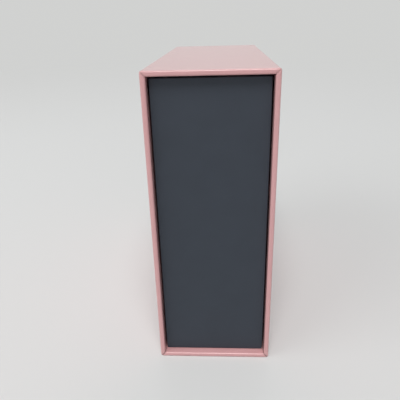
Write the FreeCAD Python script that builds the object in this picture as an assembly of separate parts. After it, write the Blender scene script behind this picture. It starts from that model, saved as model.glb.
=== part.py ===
import FreeCAD
import Part
import math
import os

# Slide-out jewelry box, standing on a narrow side: a drawer of covered board in a sleeve that is
# open at both ends. X is the width, Y the depth that the drawer slides along, and Z is up.
# The origin is the middle of the underside. All sizes are in millimetres.

Vector = FreeCAD.Vector

# Sleeve: four mitred boards under cover paper, with a lining inside
SLEEVE_WIDTH = 60.0
SLEEVE_DEPTH = 160.0
SLEEVE_HEIGHT = 155.0
SLEEVE_BOARD = 2.0
COVER_PAPER = 0.25
SLEEVE_TURN_IN = 18.0
LINING_PAPER = 0.15
STAY_TAPE = 0.1
STAY_LEG = 12.0
SLEEVE_CORNER_ROUND = 0.65
SLEEVE_RIM_ROUND = 0.45

# Drawer: a tray of boards under cover paper, lying on its side with its open face to +X
DRAWER_RECESS = 3.8
SIDE_GAP = 0.75
LOWER_GAP = 0.3
UPPER_GAP = 1.0
DRAWER_BOARD = 1.8
DRAWER_PAPER = 0.2
DRAWER_EDGE_ROUND = 0.3
DRAWER_TURN_IN = 14.0
BASE_TURN_UNDER = 15.0

# Velvet: the drawer's lining, and the thinner skin of the pieces that stand in it
LINING_VELVET = 0.9
LINING_DROP = 8.0
SKIN_VELVET = 0.6

# Ring rolls: foam bars side by side in velvet skins, with round tops
RING_ROLL_COUNT = 5
RING_ROLL_WIDTH = 11.5
RING_ROLL_HEIGHT = 24.0
RING_ROLL_END_ROUND = 1.5
ROLL_GAP = 0.4

# Dividers: two boards in velvet skins, halved into each other
DIVIDER_BOARD = 1.8
DIVIDER_HEIGHT = 34.0
DIVIDER_EDGE_ROUND = 0.2
DIVIDER_END_GAP = 0.3
HALVING_CLEARANCE = 0.15

# Compartment pads: thin foam cushions in velvet skins, with a crown and drawn-in sides
PAD_THICKNESS = 5.0
PAD_GAP = 0.5
PAD_DRAW_IN = 1.0
PAD_CROWN_RADIUS = 500.0

# Pull ribbon: one strip folded double, its two tails glued inside the back wall
RIBBON_WIDTH = 15.0
RIBBON_THICKNESS = 0.35
RIBBON_REACH = 24.0
RIBBON_FOLD_RADIUS = 1.8
RIBBON_TAIL = 9.0
RIBBON_CLEARANCE = 0.15
PATCH_PAPER = 0.1
PATCH_MARGIN = 3.0

# Sleeve sizes that follow from those above
HALF_WIDTH = SLEEVE_WIDTH / 2
HALF_DEPTH = SLEEVE_DEPTH / 2
INNER_SKIN = max(COVER_PAPER, STAY_TAPE + LINING_PAPER)
BOARD_FACE = COVER_PAPER + SLEEVE_BOARD
SLEEVE_WALL = BOARD_FACE + INNER_SKIN
LINING_REACH = HALF_DEPTH - SLEEVE_TURN_IN

# Drawer sizes: its outer corners, the board tray in its skin, and the space inside the boards
DRAWER_SKIN = DRAWER_PAPER + STAY_TAPE
DRAWER_HIGH_X = HALF_WIDTH - SLEEVE_WALL - SIDE_GAP
DRAWER_HIGH_Y = HALF_DEPTH - DRAWER_RECESS
DRAWER_LOW = Vector(-DRAWER_HIGH_X, -DRAWER_HIGH_Y, SLEEVE_WALL + LOWER_GAP)
DRAWER_HIGH = Vector(DRAWER_HIGH_X, DRAWER_HIGH_Y, SLEEVE_HEIGHT - SLEEVE_WALL - UPPER_GAP)
TRAY_LOW = DRAWER_LOW + Vector(DRAWER_SKIN, DRAWER_SKIN, DRAWER_SKIN)
TRAY_HIGH = DRAWER_HIGH - Vector(DRAWER_PAPER, DRAWER_SKIN, DRAWER_SKIN)
SPACE_LOW = TRAY_LOW + Vector(DRAWER_BOARD, DRAWER_BOARD, DRAWER_BOARD)
SPACE_HIGH = TRAY_HIGH - Vector(0, DRAWER_BOARD, DRAWER_BOARD)

# Space inside the velvet lining, where the ring rolls, dividers and pads stand
INSIDE_LOW = SPACE_LOW + Vector(LINING_VELVET, LINING_VELVET, LINING_VELVET)
INSIDE_HIGH = SPACE_HIGH - Vector(0, LINING_VELVET, LINING_VELVET)
MIDDLE_Z = (INSIDE_LOW.z + INSIDE_HIGH.z) / 2
DIVIDER_HALF = DIVIDER_BOARD / 2 + SKIN_VELVET
DIVIDER_MIDDLE_X = INSIDE_LOW.x + DIVIDER_HEIGHT / 2
LONG_DIVIDER_BACK = INSIDE_HIGH.y - ROLL_GAP - RING_ROLL_COUNT * (RING_ROLL_WIDTH + ROLL_GAP)
LONG_DIVIDER_FRONT = LONG_DIVIDER_BACK - 2 * DIVIDER_HALF

# Longer than the box in every direction, for tools that cut right through it
BEYOND = SLEEVE_WIDTH + SLEEVE_DEPTH + SLEEVE_HEIGHT
# Levels closer than this are the same
SAME = 1e-6


def box(low, high):
    """The box between two opposite corners."""
    size = high - low
    return Part.makeBox(size.x, size.y, size.z, low)


def slab(axis, low, high):
    """Everything between two levels of the named axis, as far as any tool has to reach."""
    start = Vector(-BEYOND, -BEYOND, -BEYOND)
    end = Vector(BEYOND, BEYOND, BEYOND)
    setattr(start, axis, low)
    setattr(end, axis, high)
    return box(start, end)


def prism_along_y(points):
    """A prism on a polygon of (x, z) points, right through the box along Y."""
    corners = [Vector(x, -BEYOND, z) for x, z in points]
    face = Part.Face(Part.makePolygon(corners + corners[:1]))
    return face.extrude(Vector(0, 2 * BEYOND, 0))


def is_flat(edge, axis):
    """Whether an edge stays at one level of the named axis."""
    return getattr(edge.BoundBox, axis + "Length") < SAME


def edges_along(shape, axis):
    """The edges of a shape that run along the named axis."""
    across = [name for name in "XYZ" if name != axis]
    return [edge for edge in shape.Edges if all(is_flat(edge, name) for name in across)]


def edges_at(shape, axis, level):
    """The edges of a shape that lie in the plane where the named axis has that level."""
    edges = [edge for edge in shape.Edges if is_flat(edge, axis)]
    return [edge for edge in edges if abs(getattr(edge.BoundBox, axis + "Min") - level) < SAME]


def save(name, shape):
    """Writes a node's solids to its STEP file."""
    for solid in shape.Solids:
        if not solid.isValid() or solid.Volume <= 0:
            raise ValueError("bad solid in " + name)
    whole = shape.Solids[0] if len(shape.Solids) == 1 else Part.makeCompound(shape.Solids)
    whole.exportStep(os.path.join("parts", name + ".step"))
    print(name, len(shape.Solids), "solid(s)", round(whole.Volume, 2), "mm3")


def sleeve_bore(depth, reach):
    """The space inside the sleeve, that deep below its outer faces, reaching that far each way along Y."""
    low = Vector(-HALF_WIDTH + depth, -reach, depth)
    return box(low, Vector(HALF_WIDTH - depth, reach, SLEEVE_HEIGHT - depth))


def sleeve_tube(inset):
    """The sleeve's wall, all its faces set in by the same amount, with rounded corners and rims."""
    corner = SLEEVE_CORNER_ROUND + COVER_PAPER - inset
    rim = SLEEVE_RIM_ROUND + COVER_PAPER - inset
    block = sleeve_bore(inset, HALF_DEPTH - inset)
    block = block.makeFillet(corner, edges_along(block, "Y"))
    tube = block.cut(sleeve_bore(BOARD_FACE + COVER_PAPER - inset, BEYOND))
    rims = edges_at(tube, "Y", inset - HALF_DEPTH) + edges_at(tube, "Y", HALF_DEPTH - inset)
    return tube.makeFillet(rim, rims)


def wall_wedges():
    """For each wall's name, the mitred prism that holds that wall and no other."""
    left, right, top, deep = -HALF_WIDTH, HALF_WIDTH, SLEEVE_HEIGHT, SLEEVE_WALL
    outer = [(left, 0), (right, 0), (right, top), (left, top)]
    inner = [(left + deep, deep), (right - deep, deep), (right - deep, top - deep), (left + deep, top - deep)]
    wedges = {}
    for index, name in enumerate(["bottom", "right", "top", "left"]):
        after = (index + 1) % len(outer)
        wedges[name] = prism_along_y([outer[index], outer[after], inner[after], inner[index]])
    return wedges


def make_sleeve():
    """The four boards, the cover paper in two sheets, the tapes in the corners and the lining."""
    boards = sleeve_tube(COVER_PAPER)
    wedges = wall_wedges()
    for name, wedge in wedges.items():
        save("sleeve_" + name + "_board", boards.common(wedge))

    lined_part = sleeve_bore(BOARD_FACE, LINING_REACH)
    cover = sleeve_tube(0).cut(boards).cut(lined_part)
    save("sleeve_cover_paper", cover.cut(wedges["bottom"]))
    save("sleeve_base_paper", cover.common(wedges["bottom"]))

    on_tape = sleeve_bore(BOARD_FACE + STAY_TAPE, LINING_REACH)
    leg_end = BOARD_FACE + STAY_LEG
    between_x = slab("x", leg_end - HALF_WIDTH, HALF_WIDTH - leg_end)
    between_z = slab("z", leg_end, SLEEVE_HEIGHT - leg_end)
    save("sleeve_corner_tapes", lined_part.cut(on_tape).cut(between_x).cut(between_z))
    save("sleeve_lining", on_tape.cut(sleeve_bore(BOARD_FACE + STAY_TAPE + LINING_PAPER, BEYOND)))


def drawer_tray(low, high, floor, wall, rounding):
    """An open tray between two corners, its mouth at +X, with rounded outer edges and rim."""
    block = box(low, high)
    block = block.makeFillet(rounding, edges_along(block, "X") + edges_at(block, "X", low.x))
    tray = block.cut(box(low + Vector(floor, wall, wall), Vector(BEYOND, high.y - wall, high.z - wall)))
    return tray.makeFillet(rounding, edges_at(tray, "X", high.x))


def ribbon_slot():
    """The slit for the ribbon through the drawer's back wall."""
    half_thick = RIBBON_THICKNESS + RIBBON_CLEARANCE
    half_wide = RIBBON_WIDTH / 2 + RIBBON_CLEARANCE
    low = Vector(-half_thick, INSIDE_HIGH.y, MIDDLE_Z - half_wide)
    return box(low, Vector(half_thick, BEYOND, MIDDLE_Z + half_wide))


def make_drawer_boards(tray, slot):
    """The base with four walls glued on it: front and back over its whole width, two between them."""
    walls = tray.common(slab("x", SPACE_LOW.x, BEYOND))
    between = walls.common(slab("y", SPACE_LOW.y, SPACE_HIGH.y))
    save("drawer_base_board", tray.common(slab("x", -BEYOND, SPACE_LOW.x)))
    save("drawer_front_board", walls.common(slab("y", -BEYOND, SPACE_LOW.y)))
    save("drawer_back_board", walls.common(slab("y", SPACE_HIGH.y, BEYOND)).cut(slot))
    save("drawer_lower_board", between.common(slab("z", -BEYOND, SPACE_LOW.z)))
    save("drawer_upper_board", between.common(slab("z", SPACE_HIGH.z, BEYOND)))


def drawer_tapes():
    """Gummed tape bent round the four outer corners of the drawer's boards."""
    low = Vector(TRAY_LOW.x + DRAWER_EDGE_ROUND, TRAY_LOW.y - STAY_TAPE, TRAY_LOW.z - STAY_TAPE)
    high = Vector(TRAY_HIGH.x - DRAWER_EDGE_ROUND, TRAY_HIGH.y + STAY_TAPE, TRAY_HIGH.z + STAY_TAPE)
    outer = box(low, high)
    outer = outer.makeFillet(DRAWER_EDGE_ROUND + STAY_TAPE, edges_along(outer, "X"))
    boards = box(TRAY_LOW, TRAY_HIGH)
    boards = boards.makeFillet(DRAWER_EDGE_ROUND, edges_along(boards, "X"))
    between_y = slab("y", low.y + STAY_LEG, high.y - STAY_LEG)
    between_z = slab("z", low.z + STAY_LEG, high.z - STAY_LEG)
    return outer.cut(boards).cut(between_y).cut(between_z)


def make_drawer():
    """The boards, the tapes on their corners, the cover paper with its base sheet, and the lining."""
    tray = drawer_tray(TRAY_LOW, TRAY_HIGH, DRAWER_BOARD, DRAWER_BOARD, DRAWER_EDGE_ROUND)
    slot = ribbon_slot()
    make_drawer_boards(tray, slot)
    tapes = drawer_tapes()
    save("drawer_corner_tapes", tapes)

    under = Vector(0, BASE_TURN_UNDER, BASE_TURN_UNDER)
    base_sheet = box(DRAWER_LOW + under, Vector(TRAY_LOW.x, DRAWER_HIGH.y, DRAWER_HIGH.z) - under)
    save("drawer_base_paper", base_sheet)

    floor = DRAWER_SKIN + DRAWER_BOARD
    rounding = DRAWER_EDGE_ROUND + DRAWER_PAPER
    cover = drawer_tray(DRAWER_LOW, DRAWER_HIGH, floor, floor + DRAWER_PAPER, rounding)
    turn_in_end = Vector(DRAWER_HIGH.x - DRAWER_TURN_IN, SPACE_HIGH.y, SPACE_HIGH.z)
    for inside in (tray, box(SPACE_LOW, turn_in_end), base_sheet, slot, tapes):
        cover = cover.cut(inside)
    save("drawer_cover_paper", cover)
    make_lining(cover)


def make_lining(drawer_cover):
    """Velvet on the drawer's floor and round its walls, over the turned-in paper and the ribbon's tails."""
    save("drawer_floor_velvet", box(SPACE_LOW, Vector(INSIDE_LOW.x, SPACE_HIGH.y, SPACE_HIGH.z)))

    top = DRAWER_HIGH.x - LINING_DROP
    outer = box(Vector(INSIDE_LOW.x, SPACE_LOW.y, SPACE_LOW.z), Vector(top, SPACE_HIGH.y, SPACE_HIGH.z))
    inner = box(INSIDE_LOW, Vector(BEYOND, INSIDE_HIGH.y, INSIDE_HIGH.z))
    tails = RIBBON_TAIL + PATCH_MARGIN + RIBBON_CLEARANCE
    half_wide = RIBBON_WIDTH / 2 + PATCH_MARGIN + RIBBON_CLEARANCE
    pocket_low = Vector(-tails, SPACE_HIGH.y - RIBBON_THICKNESS - PATCH_PAPER, MIDDLE_Z - half_wide)
    pocket = box(pocket_low, Vector(tails, BEYOND, MIDDLE_Z + half_wide))
    save("drawer_wall_velvet", outer.cut(inner).cut(drawer_cover).cut(pocket))


def ring_roll(middle, inset):
    """One bar: flat sides and a round top carried along Z with eased ends, all but its foot set in."""
    half = RING_ROLL_WIDTH / 2
    radius = half - inset
    slant = radius * math.sin(math.pi / 4)
    foot = INSIDE_LOW.x
    shoulder = foot + RING_ROLL_HEIGHT - half
    start = INSIDE_LOW.z + ROLL_GAP + inset
    end = INSIDE_HIGH.z - ROLL_GAP - inset
    crown = Vector(shoulder + radius, middle, start)
    near = Vector(shoulder, middle - radius, start)
    far = Vector(shoulder, middle + radius, start)
    near_foot = Vector(foot, near.y, start)
    far_foot = Vector(foot, far.y, start)
    curves = [
        Part.Arc(near, Vector(shoulder + slant, middle - slant, start), crown),
        Part.Arc(crown, Vector(shoulder + slant, middle + slant, start), far),
        Part.LineSegment(far, far_foot),
        Part.LineSegment(far_foot, near_foot),
        Part.LineSegment(near_foot, near),
    ]
    outline = Part.Wire([curve.toShape() for curve in curves])
    bar = Part.Face(outline).extrude(Vector(0, 0, end - start))
    ends = edges_at(bar, "Z", start) + edges_at(bar, "Z", end)
    eased = [edge for edge in ends if edge.BoundBox.XMax > foot + SAME]
    return bar.makeFillet(RING_ROLL_END_ROUND - inset, eased)


def make_ring_rolls():
    """A row of foam bars in velvet skins along the back wall, which hold rings between them."""
    first = INSIDE_HIGH.y - ROLL_GAP - RING_ROLL_WIDTH / 2
    for number in range(RING_ROLL_COUNT):
        middle = first - number * (RING_ROLL_WIDTH + ROLL_GAP)
        foam = ring_roll(middle, SKIN_VELVET)
        save("ring_roll_foam_" + str(number + 1), foam)
        save("ring_roll_velvet_" + str(number + 1), ring_roll(middle, 0).cut(foam))


def save_divider(name, low, high, cut_out):
    """A board and the velvet folded over it, open at the foot, with the same cut-out through both."""
    skin = Vector(SKIN_VELVET, SKIN_VELVET, SKIN_VELVET)
    board = box(Vector(low.x, low.y + skin.y, low.z + skin.z), high - skin)
    board = board.makeFillet(DIVIDER_EDGE_ROUND, edges_at(board, "X", high.x - skin.x))
    whole = box(low, high)
    whole = whole.makeFillet(DIVIDER_EDGE_ROUND + SKIN_VELVET, edges_at(whole, "X", high.x))
    save(name + "_board", board.cut(cut_out))
    save(name + "_velvet", whole.cut(board).cut(cut_out))


def make_dividers():
    """The long divider between rolls and compartments, and the short one halved into its slot."""
    top = INSIDE_LOW.x + DIVIDER_HEIGHT
    long_low = Vector(INSIDE_LOW.x, LONG_DIVIDER_FRONT, INSIDE_LOW.z + DIVIDER_END_GAP)
    long_high = Vector(top, LONG_DIVIDER_BACK, INSIDE_HIGH.z - DIVIDER_END_GAP)
    wide = DIVIDER_HALF + HALVING_CLEARANCE
    slot_low = Vector(DIVIDER_MIDDLE_X - HALVING_CLEARANCE, -BEYOND, MIDDLE_Z - wide)
    slot = box(slot_low, Vector(BEYOND, BEYOND, MIDDLE_Z + wide))
    save_divider("long_divider", long_low, long_high, slot)

    short_low = Vector(INSIDE_LOW.x, INSIDE_LOW.y + DIVIDER_END_GAP, MIDDLE_Z - DIVIDER_HALF)
    short_high = Vector(top, LONG_DIVIDER_BACK, MIDDLE_Z + DIVIDER_HALF)
    notch_low = Vector(-BEYOND, LONG_DIVIDER_FRONT - HALVING_CLEARANCE, -BEYOND)
    notch = box(notch_low, Vector(DIVIDER_MIDDLE_X, BEYOND, BEYOND))
    save_divider("short_divider", short_low, short_high, notch)


def cushion(foot, half_y, half_z, thickness):
    """A pad whose sides bow in between its corners, under a crown that is part of a large sphere."""
    corners = [(-half_y, -half_z), (half_y, -half_z), (half_y, half_z), (-half_y, half_z)]
    bow_y, bow_z = half_y - PAD_DRAW_IN, half_z - PAD_DRAW_IN
    sides = []
    for index, bow in enumerate([(0, -bow_z), (bow_y, 0), (0, bow_z), (-bow_y, 0)]):
        points = (corners[index], bow, corners[(index + 1) % len(corners)])
        sides.append(Part.Arc(*[foot + Vector(0, y, z) for y, z in points]).toShape())
    block = Part.Face(Part.Wire(sides)).extrude(Vector(thickness, 0, 0))
    return block.common(Part.makeSphere(PAD_CROWN_RADIUS, foot + Vector(thickness - PAD_CROWN_RADIUS, 0, 0)))


def make_pads():
    """A thin foam cushion in a velvet skin on the floor of each compartment."""
    middle_y = (INSIDE_LOW.y + LONG_DIVIDER_FRONT) / 2
    half_y = (LONG_DIVIDER_FRONT - INSIDE_LOW.y) / 2 - PAD_GAP
    edge = MIDDLE_Z - DIVIDER_HALF
    half_z = (edge - INSIDE_LOW.z) / 2 - PAD_GAP
    low_middle = (edge + INSIDE_LOW.z) / 2
    for name, middle_z in (("lower_pad", low_middle), ("upper_pad", 2 * MIDDLE_Z - low_middle)):
        foot = Vector(INSIDE_LOW.x, middle_y, middle_z)
        foam = cushion(foot, half_y - SKIN_VELVET, half_z - SKIN_VELVET, PAD_THICKNESS - SKIN_VELVET)
        save(name + "_foam", foam)
        save(name + "_velvet", cushion(foot, half_y, half_z, PAD_THICKNESS).cut(foam))


def make_ribbon():
    """The doubled ribbon through the back wall, its spread tails, and the patch glued over them."""
    low_z = MIDDLE_Z - RIBBON_WIDTH / 2
    high_z = MIDDLE_Z + RIBBON_WIDTH / 2
    tail_face = SPACE_HIGH.y - RIBBON_THICKNESS
    fold_middle = Vector(0, DRAWER_HIGH.y + RIBBON_REACH - RIBBON_FOLD_RADIUS, low_z)
    tails = box(Vector(-RIBBON_TAIL, tail_face, low_z), Vector(RIBBON_TAIL, SPACE_HIGH.y, high_z))
    neck = box(Vector(-RIBBON_THICKNESS, tail_face, low_z), Vector(RIBBON_THICKNESS, fold_middle.y, high_z))
    fold = Part.makeCylinder(RIBBON_FOLD_RADIUS, RIBBON_WIDTH, fold_middle)
    eye = Part.makeCylinder(RIBBON_FOLD_RADIUS - RIBBON_THICKNESS, RIBBON_WIDTH, fold_middle)
    save("pull_ribbon", tails.fuse(neck).fuse(fold).cut(eye).removeSplitter())

    reach = Vector(RIBBON_TAIL + PATCH_MARGIN, 0, RIBBON_WIDTH / 2 + PATCH_MARGIN)
    middle = Vector(0, tail_face, MIDDLE_Z)
    save("ribbon_patch", box(middle - reach - Vector(0, PATCH_PAPER, 0), middle + reach))


os.makedirs("parts", exist_ok=True)
make_sleeve()
make_drawer()
make_ring_rolls()
make_dividers()
make_pads()
make_ribbon()
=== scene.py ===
import bpy
import numpy as np
from mathutils import Matrix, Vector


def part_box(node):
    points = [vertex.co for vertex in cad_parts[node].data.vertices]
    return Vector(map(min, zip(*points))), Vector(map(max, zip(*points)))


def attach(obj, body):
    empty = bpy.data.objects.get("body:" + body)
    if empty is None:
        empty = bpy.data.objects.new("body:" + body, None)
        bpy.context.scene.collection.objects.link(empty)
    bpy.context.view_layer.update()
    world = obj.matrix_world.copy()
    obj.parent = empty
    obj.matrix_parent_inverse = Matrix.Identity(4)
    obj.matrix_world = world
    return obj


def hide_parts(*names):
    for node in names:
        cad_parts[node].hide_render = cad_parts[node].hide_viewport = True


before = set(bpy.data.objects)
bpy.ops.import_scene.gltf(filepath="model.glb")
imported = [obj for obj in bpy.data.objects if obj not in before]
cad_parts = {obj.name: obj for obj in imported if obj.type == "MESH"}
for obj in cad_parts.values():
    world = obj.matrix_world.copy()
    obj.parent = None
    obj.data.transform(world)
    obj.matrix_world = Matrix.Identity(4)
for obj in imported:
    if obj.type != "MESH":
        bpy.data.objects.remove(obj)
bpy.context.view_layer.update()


# Sleeve boards: the left, top, right and bottom of the sleeve, cut from 2 mm greyboard.
# Their edges are mitred and glued, and paper covers them on every side.
MM = 0.001
NOISE_WHOLE = (0.0, 1.0)
NOISE_MAIN = (0.3, 0.7)
BOARD_GREY = (0.36, 0.34, 0.31)
BOARD_SHADES = (0.92, 1.06)
BOARD_CLOUD = 6 * MM
BOARD_FIBRE = (0.5 * MM, 1.4 * MM, 0.5 * MM)
BOARD_RELIEF = (0.06 * MM, 0.6)
BOARD_ROUGHNESS = (0.85, 0.97)
FLECK_DARK = (0.2, 0.18, 0.16)
FLECK_PALE = (0.55, 0.53, 0.49)
FLECK_PLACES = (0.3, 0.42, 0.6, 0.72)
FLECK_SHARE = (0.3, 0.6)


def new_finish(name, **sockets):
    """A material: its node tree, its shader with these sockets set, and the piece's Object coordinates."""
    material = bpy.data.materials.new(name)
    material.use_nodes = True
    tree = material.node_tree
    shader = tree.nodes["Principled BSDF"]
    for socket, value in sockets.items():
        shader.inputs[socket.replace("_", " ")].default_value = value
    coords = tree.nodes.new("ShaderNodeTexCoord").outputs["Object"]
    return material, tree, shader, coords


def grain(tree, coords, size, detail=3.0, distortion=0.0):
    """Noise from 0 to 1 whose lumps are about that size in metres, either all ways or along X, Y and Z."""
    mapping = tree.nodes.new("ShaderNodeMapping")
    mapping.inputs["Scale"].default_value = (1 / np.broadcast_to(size, 3)).tolist()
    noise = tree.nodes.new("ShaderNodeTexNoise")
    noise.inputs["Scale"].default_value = 1.0
    noise.inputs["Detail"].default_value = detail
    noise.inputs["Distortion"].default_value = distortion
    tree.links.new(coords, mapping.inputs["Vector"])
    tree.links.new(mapping.outputs["Vector"], noise.inputs["Vector"])
    return noise.outputs["Fac"]


def ramp(tree, amount, places, colours):
    """A colour for each amount, run between colours that stand at these places."""
    node = tree.nodes.new("ShaderNodeValToRGB")
    elements = node.color_ramp.elements
    while len(elements) < len(places):
        elements.new(1.0)
    for element, place, colour in zip(elements, places, colours):
        element.position = place
        element.color = (*colour, 1.0)
    tree.links.new(amount, node.inputs["Fac"])
    return node.outputs["Color"]


def shades(colour, shares):
    """Darker and lighter shades of one colour."""
    return [tuple(share * part for part in colour) for share in shares]


def span(tree, amount, reach, result):
    """An amount that goes over the two results while another goes over its reach, and no further."""
    node = tree.nodes.new("ShaderNodeMapRange")
    for socket, value in zip(("From Min", "From Max", "To Min", "To Max"), (*reach, *result)):
        node.inputs[socket].default_value = value
    tree.links.new(amount, node.inputs["Value"])
    return node.outputs["Result"]


def tint(tree, amount, under, over):
    """One colour laid over another, as strongly as the amount says."""
    node = tree.nodes.new("ShaderNodeMixRGB")
    tree.links.new(amount, node.inputs["Fac"])
    tree.links.new(under, node.inputs["Color1"])
    tree.links.new(over, node.inputs["Color2"])
    return node.outputs["Color"]


def set_skin(tree, shader, colour, roughness, *reliefs):
    """Leads a colour, a roughness and bumps to the shader.

    The bumps are laid over each other on its normal. Each is (height, depth in metres, strength).
    """
    tree.links.new(colour, shader.inputs["Base Color"])
    tree.links.new(roughness, shader.inputs["Roughness"])
    normal = None
    for height, depth, strength in reliefs:
        node = tree.nodes.new("ShaderNodeBump")
        node.inputs["Distance"].default_value = depth
        node.inputs["Strength"].default_value = strength
        tree.links.new(height, node.inputs["Height"])
        if normal:
            tree.links.new(normal, node.inputs["Normal"])
        normal = node.outputs["Normal"]
    tree.links.new(normal, shader.inputs["Normal"])


def greyboard_finish():
    """Recycled board: grey pulp in soft clouds, with short dark and pale fibres, and a rough skin."""
    material, tree, shader, coords = new_finish("greyboard")
    clouds = grain(tree, coords, BOARD_CLOUD)
    fibres = grain(tree, coords, BOARD_FIBRE, detail=5.0, distortion=0.6)
    pulp = ramp(tree, clouds, NOISE_MAIN, shades(BOARD_GREY, BOARD_SHADES))
    flecked = ramp(tree, fibres, FLECK_PLACES, (FLECK_DARK, BOARD_GREY, BOARD_GREY, FLECK_PALE))
    colour = tint(tree, span(tree, clouds, NOISE_WHOLE, FLECK_SHARE), pulp, flecked)
    rough = span(tree, fibres, NOISE_MAIN, BOARD_ROUGHNESS)
    set_skin(tree, shader, colour, rough, (fibres, *BOARD_RELIEF))
    return material


def dress(material, *names):
    """Gives carried CAD nodes their finish."""
    for name in names:
        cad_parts[name].data.materials.clear()
        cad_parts[name].data.materials.append(material)


greyboard = greyboard_finish()
dress(greyboard, "sleeve_left_board", "sleeve_top_board", "sleeve_right_board", "sleeve_bottom_board")


# Corner tapes: gummed kraft tape, wetted and rubbed down inside the sleeve's four corners.
# It keeps the mitres closed until the paper is on, and the lining hides it.
KRAFT = (0.47, 0.33, 0.2)
KRAFT_FIBRE = (0.3 * MM, 3 * MM, 0.3 * MM)
KRAFT_PLACES = (0.25, 0.5, 0.75)
KRAFT_SHADES = (0.78, 1.0, 1.18)
KRAFT_RELIEF = (0.02 * MM, 0.5)
KRAFT_ROUGHNESS = (0.6, 0.78)
BAR_SIZE = (8 * MM, 0.8 * MM, 8 * MM)
BAR_SHADES = (0.94, 1.05)
BAR_SHARE = (0.2, 0.5)


def kraft_finish():
    """Brown kraft: long pale and dark fibres along the roll, faint bars across, and a dull skin."""
    material, tree, shader, coords = new_finish("kraft_tape")
    fibres = grain(tree, coords, KRAFT_FIBRE, detail=6.0)
    bars = grain(tree, coords, BAR_SIZE)
    brown = ramp(tree, fibres, KRAFT_PLACES, shades(KRAFT, KRAFT_SHADES))
    barred = ramp(tree, bars, NOISE_MAIN, shades(KRAFT, BAR_SHADES))
    colour = tint(tree, span(tree, bars, NOISE_WHOLE, BAR_SHARE), brown, barred)
    rough = span(tree, fibres, NOISE_MAIN, KRAFT_ROUGHNESS)
    set_skin(tree, shader, colour, rough, (fibres, *KRAFT_RELIEF))
    return material


kraft = kraft_finish()
dress(kraft, "sleeve_corner_tapes")


# Sleeve lining: one sheet of thin blush paper glued round the inside, between the turned-in edges.
# Its two ends meet at the lower left corner, over the tape.
LINING_PAPER = 0.15 * MM
LINING_BEND = 0.35 * MM
LINING_JOINT = 6
LINING_STEPS = 32
LINING_BLUSH = (0.69, 0.42, 0.425)
LINING_ROUGHNESS = 0.6
LINING_TOOTH = 0.35
LINING_SHINE = 0.4
BARE_PULP = (0.84, 0.72, 0.7)
BARE_SHADES = (0.97, 1.03)
# Painted shadow for the fold lines where flaps meet: dark shades of the paper's own colour.
FOLD_SHADOW_SHADES = (0.22, 0.36)
PAPER_CLOUD = 9 * MM
PAPER_MOTTLE = 0.03
PAPER_FIBRE = (0.35 * MM, 0.9 * MM, 0.35 * MM)
FIBRE_PLACES = (0.32, 0.5, 0.68)
FIBRE_SHADES = (0.88, 1.0, 1.1)
FIBRE_SHARE = (0.25, 0.45)
FIBRE_DEPTH = 0.025 * MM
PAPER_PORE = 0.14 * MM
PORE_DEPTH = 0.012 * MM
PORE_ROUGHNESS = (-0.05, 0.06)
# Reach over the fibres of the worn fold edges and of the painted fold-line shadow, and how strong each is.
WEAR_AND_SHADOW_FIBRES = (0.4, 0.7)
FOLD_WEAR = (0.01, 0.1)
FOLD_SHADOW_STRENGTH = (0.8, 1.0)
sleeve_low = np.minimum(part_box("sleeve_cover_paper")[0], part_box("sleeve_base_paper")[0])
sleeve_high = np.maximum(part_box("sleeve_cover_paper")[1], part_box("sleeve_base_paper")[1])
lining_low, lining_high = np.array(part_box("sleeve_lining"))
sleeve_wall = lining_low[0] - sleeve_low[0] + LINING_PAPER


def walk_round(corners, closed=False, arc_steps=9, side_steps=24):
    """A walk round a rectangle with rounded corners: places in it from -1 to 1, and outward angles.

    A corner is (place, place, first angle, last angle), in degrees, and is walked as an arc. The side
    after it keeps its last angle as far as the next corner, in steps that are finer near both corners.
    """
    step = np.linspace(-1, 1, side_steps + 2)[1:-1, None]
    share = 0.5 + 0.5 * np.sign(step) * (1 - (1 - np.abs(step)) ** 3)
    places, angles = [], []
    for corner, after in zip(corners, corners[1:] + [corners[0] if closed else None]):
        places.append(np.tile(np.array(corner[:2], float), (arc_steps, 1)))
        angles.append(np.linspace(corner[2], corner[3], arc_steps))
        if after:
            places.append((1 - share) * np.array(corner[:2]) + share * np.array(after[:2]))
            angles.append(np.full(side_steps, corner[3]))
    return np.concatenate(places), np.radians(np.concatenate(angles))


def wrapped_skin(walk, low, high, inset, along, radius, axes):
    """A profile carried round a rectangle with rounded corners.

    Point (u, v) is the rectangle's middle, plus the walk's place times the half sizes less the inset
    and the corner radius, plus that radius in the walk's direction. inset, along and radius go over v,
    or over u and v. axes says which of X, Y and Z the rectangle's two sides and along lie on.
    """
    places, angles = walk
    inset, along, radius = np.broadcast_arrays(inset, along, radius, np.empty((len(angles), 1)))[:3]
    grid = np.empty((*inset.shape, 3))
    for axis, place, turn in zip(axes, places.T, (np.cos(angles), np.sin(angles))):
        middle, half = (low[axis] + high[axis]) / 2, (high[axis] - low[axis]) / 2
        grid[..., axis] = middle + place[:, None] * (half - inset - radius) + radius * turn[:, None]
    grid[..., axes[2]] = along
    return grid


def surface(name, grid, round_u=False, round_v=False, holes=None, caps=False):
    """A mesh on a grid of points, with a face between each four neighbours, u first and then v.

    round_u and round_v join the last points to the first. holes marks the faces to leave out. caps
    closes the first and the last points along v with one face each.
    """
    rows, columns = grid.shape[:2]
    index = np.arange(rows * columns).reshape(rows, columns)
    ends = [index[::-1, 0].tolist(), index[:, -1].tolist()] if caps else []
    if round_u:
        index = np.concatenate([index, index[:1]])
    if round_v:
        index = np.concatenate([index, index[:, :1]], axis=1)
    faces = np.stack([index[:-1, :-1], index[1:, :-1], index[1:, 1:], index[:-1, 1:]], axis=-1)
    faces = faces.reshape(-1, 4) if holes is None else faces[~holes]
    mesh = bpy.data.meshes.new(name)
    mesh.from_pydata(grid.reshape(-1, 3).tolist(), [], faces.tolist() + ends)
    return mesh


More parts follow.
